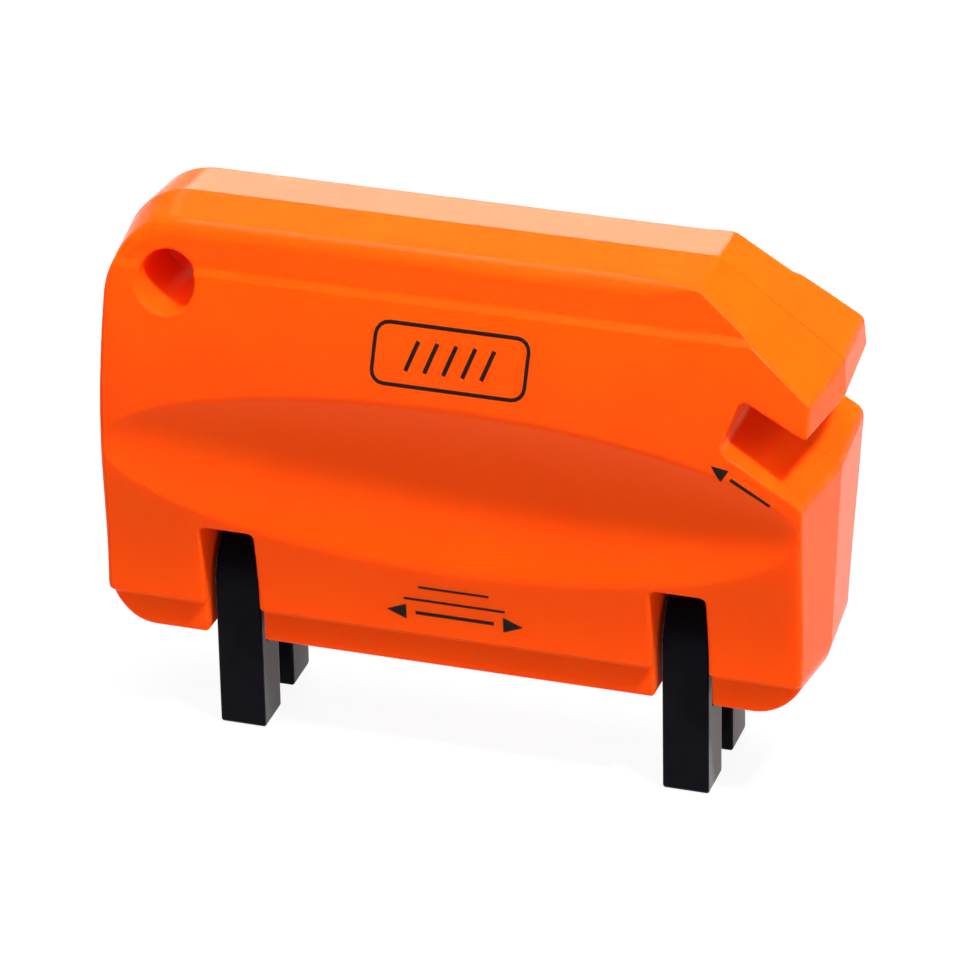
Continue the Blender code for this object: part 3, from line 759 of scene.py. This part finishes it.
def abrasive():
    """Bonded grit: dark grains with a few bright facets."""
    tree = Tree("abrasive", base=(0.1, 0.1, 0.11), roughness=0.8)
    grain = tree.noise(0.3, 4.0)
    tree.tint(grain, (0.05, 0.05, 0.055), (0.24, 0.23, 0.23))
    tree.rough(grain, 0.4, 0.75, at_low=0.95, at_high=0.35)
    tree.bump(grain, strength=1.0, distance_mm=0.2)
    return tree.material


def black_ink():
    """Pad-printed ink, a little uneven."""
    tree = Tree("black_ink", base=(0.012, 0.008, 0.006), roughness=0.45, ior=1.15)
    wear = tree.ramp(tree.noise(0.35, 3.0), 0.35, 0.7, 0.0, 1.0)
    tree.tint(wear, (0.006, 0.005, 0.005), (0.02, 0.01, 0.007))
    tree.rough(wear, 0.0, 1.0, at_low=0.4, at_high=0.55)
    return tree.material


def light_table():
    """A pale table lit from within, so that shadows on it stay faint."""
    tree = Tree("light_table", base=(0.035, 0.035, 0.035), roughness=0.9)
    tree.tint(tree.noise(300.0), (0.032, 0.032, 0.032), (0.038, 0.038, 0.038))
    tree.set(tree.shader, {"Emission Color": (1.0, 1.0, 1.0, 1.0), "Emission Strength": 0.92})
    return tree.material


# ---------------------------------------------------------------- pieces


def make_shell(name, side, material):
    def mirrored(points):
        return points * (1, side, 1)

    mesh = field_mesh(name, shell_field(side), SHELL_GRID, mirrored, HALF_SEAM)
    add_piece(f"{name}_moulding", mesh, HOUSING, "housing_plastic", material, name)


def make_fork(name, centre, material):
    mesh = field_mesh(name, fork_field, FORK_GRID, moved(centre, 0, 0))
    node = f"{name}_guide_fork"
    add_piece(f"{node}_moulding", mesh, f"{name}_fork", "fork_nylon", material, node)


def make_screws(material):
    for name, (x, z) in SCREWS.items():
        place = moved(x, SCREW_SEAT_Y + SCREW_SINK, z)
        mesh = field_mesh(name, screw_field, SCREW_GRID, place)
        add_piece(f"{name}_screw_turned", mesh, HOUSING, "steel", material, f"{name}_screw")


def make_pins(material):
    for name in FORKS:
        node = f"{name}_pivot_pin"
        middle, half = extent(node, 0)
        profile = disc_profile(0, PIN_RADIUS, half, PIN_CHAMFER)
        mesh = lathe(f"{name}_pin", profile, (middle, 0, PIVOT_Z), "X")
        add_piece(f"{node}_turned", mesh, HOUSING, "steel", material, node)


def make_washers(material):
    for name in FORKS:
        node = f"{name}_washer"
        middle, half = extent(node, 0)
        bore = PIN_RADIUS + WASHER_PLAY
        profile = disc_profile(bore, WASHER_RADIUS, half, WASHER_CHAMFER)
        mesh = lathe(f"{node}_disc", profile, (middle, 0, PIVOT_Z), "X")
        add_piece(f"{node}_pressed", mesh, HOUSING, "steel", material, node)


def make_rivets(material):
    """Rivets with a slight dome at both ends."""
    for name in FORKS:
        node = f"{name}_file_rivet"
        centre = [extent(node, axis)[0] for axis in range(3)]
        half, radius = extent(node, 1)[1], extent(node, 2)[1]
        profile = [(0, -half)]
        for angle in RIVET_DOME_ANGLES:
            sunk = RIVET_DOME * (1 - math.cos(angle))
            profile.append((radius * math.sin(angle), -half + sunk))
        profile += [(r, -along) for r, along in reversed(profile)]
        mesh = lathe(f"{name}_rivet", profile, centre, "Y", 32)
        add_piece(f"{node}_formed", mesh, HOUSING, "steel", material, node)


def spring_path(x, way):
    """Points of a coil about the pivot, and of its upper arm, which rises from the last turn."""
    start = x + way * (FORK_WIDTH / 2 + SPRING_GAP + SPRING_WIRE)
    per_turn, arm_points = 32, 8
    points = []
    for i in range(int(per_turn * SPRING_TURNS) + 1):
        turn = i / per_turn
        angle = math.tau * turn + math.pi
        y, z = SPRING_COIL * math.cos(angle), PIVOT_Z + SPRING_COIL * math.sin(angle)
        points.append((start + way * SPRING_PITCH * turn, y, z))
    x, y, z = points[-1]
    rise = (SPRING_ARM_TOP_Z - z) / arm_points
    return points + [(x, y, z + rise * i) for i in range(1, arm_points + 1)]


def make_springs(material):
    """A torsion spring beside each hub, with its upper arm against the shells."""
    for name, x in FORKS.items():
        points = spring_path(x, inward(name))
        curve = bpy.data.curves.new(f"{name}_spring_wire", "CURVE")
        curve.dimensions = "3D"
        curve.bevel_depth = SPRING_WIRE * MM
        curve.bevel_resolution = 4
        curve.use_fill_caps = True
        spline = curve.splines.new("POLY")
        spline.points.add(len(points) - 1)
        for point, where in zip(spline.points, points):
            point.co = (*(Vector(where) * MM), 1.0)
        spline.use_smooth = True
        node = f"{name}_fork_spring"
        add_piece(f"{node}_wire", curve, HOUSING, "steel", material, node)


def make_files(black, grit, plate):
    """The two files, the backing of one and the holder of the other."""
    for node, edge_width, slot, material in (
        ("reel_file", 0.25, "abrasive", grit),
        ("bed_knife_file", 0.2, "abrasive", grit),
        ("bed_knife_file_backing", 0.15, "steel", plate),
        ("reel_file_holder", 0.2, "fork_nylon", black),
    ):
        mesh = bevelled_copy(node, f"{node}_edges", edge_width)
        add_piece(f"{node}_finished", mesh, HOUSING, slot, material, node)


# ---------------------------------------------------------------- printed marks


def ribbon(bm, points, width, closed=False):
    """A flat line of even width through (x, z) points, with mitred corners."""
    count = len(points)
    pairs = []
    for i, point in enumerate(points):
        here = Vector(point)
        before = Vector(points[i - 1]) if closed or i > 0 else None
        after = Vector(points[(i + 1) % count]) if closed or i < count - 1 else None
        way_in = (here - before).normalized() if before else (after - here).normalized()
        way_out = (after - here).normalized() if after else way_in
        bisector = (way_in + way_out).normalized()
        side = Vector((-bisector.y, bisector.x))
        reach = width / 2 / max(0.3, side.dot(Vector((-way_in.y, way_in.x))))
        pairs.append((here + side * reach, here - side * reach))
    verts = [[bm.verts.new((p.x, 0.0, p.y)) for p in pair] for pair in pairs]
    for i in range(count if closed else count - 1):
        first, second = verts[i], verts[(i + 1) % count]
        bm.faces.new((first[0], first[1], second[1], second[0]))


def rounded_frame(centre, half, radius, slant):
    """Points round a rectangle with round corners; its sides lean by slant."""
    points = []
    for quarter, (sx, sz) in enumerate(((1, 1), (-1, 1), (-1, -1), (1, -1))):
        for i in range(5):
            angle = math.radians(90 * quarter + 22.5 * i)
            x = sx * (half[0] - radius) + radius * math.cos(angle)
            z = sz * (half[1] - radius) + radius * math.sin(angle)
            points.append((centre[0] + x + slant * z, centre[1] + z))
    return points


def cut_finely(bm, normal, interval):
    """Cuts flat marks at even intervals, so that they can follow a curved face."""
    places = [vert.co.dot(normal) for vert in bm.verts]
    first = math.floor(min(places) / interval) + 1
    for i in range(first, math.ceil(max(places) / interval)):
        geometry = bm.verts[:] + bm.edges[:] + bm.faces[:]
        point = normal * (i * interval)
        bmesh.ops.bisect_plane(bm, geom=geometry, dist=1e-5, plane_co=point, plane_no=normal)


def lay_on_face(bm, name, material):
    """Lays flat marks on the front face and gives them a thickness."""
    cut_finely(bm, Vector((1, 0, 0)), MARK_CUT_X)
    cut_finely(bm, Vector((0, 0, 1)), MARK_CUT_Z)
    for vert in bm.verts:
        x, _, z = vert.co
        depth = float(face_depth(np.array(x), np.array(z)))
        vert.co = (x * MM, -(depth + MARK_LIFT) * MM, z * MM)
    bmesh.ops.recalc_face_normals(bm, faces=bm.faces)
    if sum(facet.normal.y * facet.calc_area() for facet in bm.faces) > 0:
        bmesh.ops.reverse_faces(bm, faces=bm.faces)
    printed = add_piece(name, mesh_from(bm, name), HOUSING, "fork_nylon", material)
    thicken = printed.modifiers.new("thickness", "SOLIDIFY")
    thicken.thickness = MARK_THICKNESS * MM
    thicken.offset = -1.0


def make_badge(material):
    """A plain badge: a rounded frame round five slanted stripes."""
    bm = bmesh.new()
    points = rounded_frame(BADGE_CENTRE, BADGE_HALF, BADGE_RADIUS, BADGE_SLANT)
    ribbon(bm, points, LINE_WIDTH, closed=True)
    half_x, half_z = STRIPE_HALF
    for i in range(-2, 3):
        x, z = BADGE_CENTRE[0] + STRIPE_PITCH * i, BADGE_CENTRE[1]
        ribbon(bm, [(x - half_x, z - half_z), (x + half_x, z + half_z)], STRIPE_WIDTH)
    lay_on_face(bm, "printed_badge", material)


def make_arrows(name, heads, lines, material):
    """Arrow heads and straight lines, printed as one piece."""
    bm = bmesh.new()
    for head in heads:
        bm.faces.new([bm.verts.new((x, 0.0, z)) for x, z in head])
    for start, end, width in lines:
        ribbon(bm, [start, end], width)
    lay_on_face(bm, name, material)


# ---------------------------------------------------------------- scene


def make_camera():
    data = bpy.data.cameras.new("camera")
    camera = bpy.data.objects.new("camera", data)
    bpy.context.scene.collection.objects.link(camera)
    camera.location = CAMERA_PLACE
    camera.rotation_euler = [math.radians(angle) for angle in CAMERA_TURN]
    data.sensor_width = CAMERA_SENSOR
    data.lens = CAMERA_LENS
    data.clip_start, data.clip_end = CAMERA_CLIP
    bpy.context.scene.camera = camera


def make_area(name, place, size, power):
    """A rectangular light that points at LIGHT_AIM."""
    data = bpy.data.lights.new(name, "AREA")
    data.shape = "RECTANGLE"
    data.size, data.size_y = size
    data.energy = power
    light = bpy.data.objects.new(name, data)
    light.location = place
    aim = Vector(LIGHT_AIM) - Vector(place)
    light.rotation_euler = aim.to_track_quat("-Z", "Y").to_euler()
    bpy.context.scene.collection.objects.link(light)


def make_world():
    """A dim room whose walls are pale near the horizon."""
    world = bpy.data.worlds.new("studio")
    bpy.context.scene.world = world
    world.use_nodes = True
    nodes, links = world.node_tree.nodes, world.node_tree.links
    direction = nodes.new("ShaderNodeTexCoord").outputs["Generated"]
    split = nodes.new("ShaderNodeSeparateXYZ")
    links.new(direction, split.inputs["Vector"])
    fall = nodes.new("ShaderNodeMapRange")
    fall.inputs["From Min"].default_value, fall.inputs["From Max"].default_value = ROOM_RISE
    fall.inputs["To Min"].default_value, fall.inputs["To Max"].default_value = ROOM_STRENGTH
    links.new(split.outputs["Z"], fall.inputs["Value"])
    background = nodes["Background"]
    background.inputs["Color"].default_value = (1.0, 1.0, 1.0, 1.0)
    links.new(fall.outputs["Result"], background.inputs["Strength"])


def make_floor():
    bm = bmesh.new()
    bmesh.ops.create_grid(bm, x_segments=1, y_segments=1, size=FLOOR_HALF)
    mesh = bpy.data.meshes.new("floor")
    bm.to_mesh(mesh)
    bm.free()
    floor = bpy.data.objects.new("floor", mesh)
    mesh.materials.append(light_table())
    bpy.context.scene.collection.objects.link(floor)


def make_studio():
    make_floor()
    make_world()
    for name, (place, size, power) in LIGHTS.items():
        make_area(name, place, size, power)
    bpy.context.scene.view_settings.view_transform = "Standard"


def main():
    make_camera()
    make_studio()
    orange = orange_plastic()
    black = black_nylon()
    turned = steel("turned_steel", (1.0, 0.15, 1.0))
    plated = steel("plated_steel", (0.15, 1.0, 1.0))
    grit = abrasive()
    make_shell("front_shell", FRONT, orange)
    make_shell("rear_shell", REAR, orange)
    for name, centre in FORKS.items():
        make_fork(name, centre, black)
    make_screws(turned)
    make_pins(plated)
    make_washers(turned)
    make_rivets(turned)
    make_springs(plated)
    make_files(black, grit, plated)
    ink = black_ink()
    make_badge(ink)
    make_arrows("printed_arrows", STROKE_HEADS, STROKE_LINES, ink)
    make_arrows("printed_notch_arrow", NOTCH_HEADS, NOTCH_LINES, ink)


main()
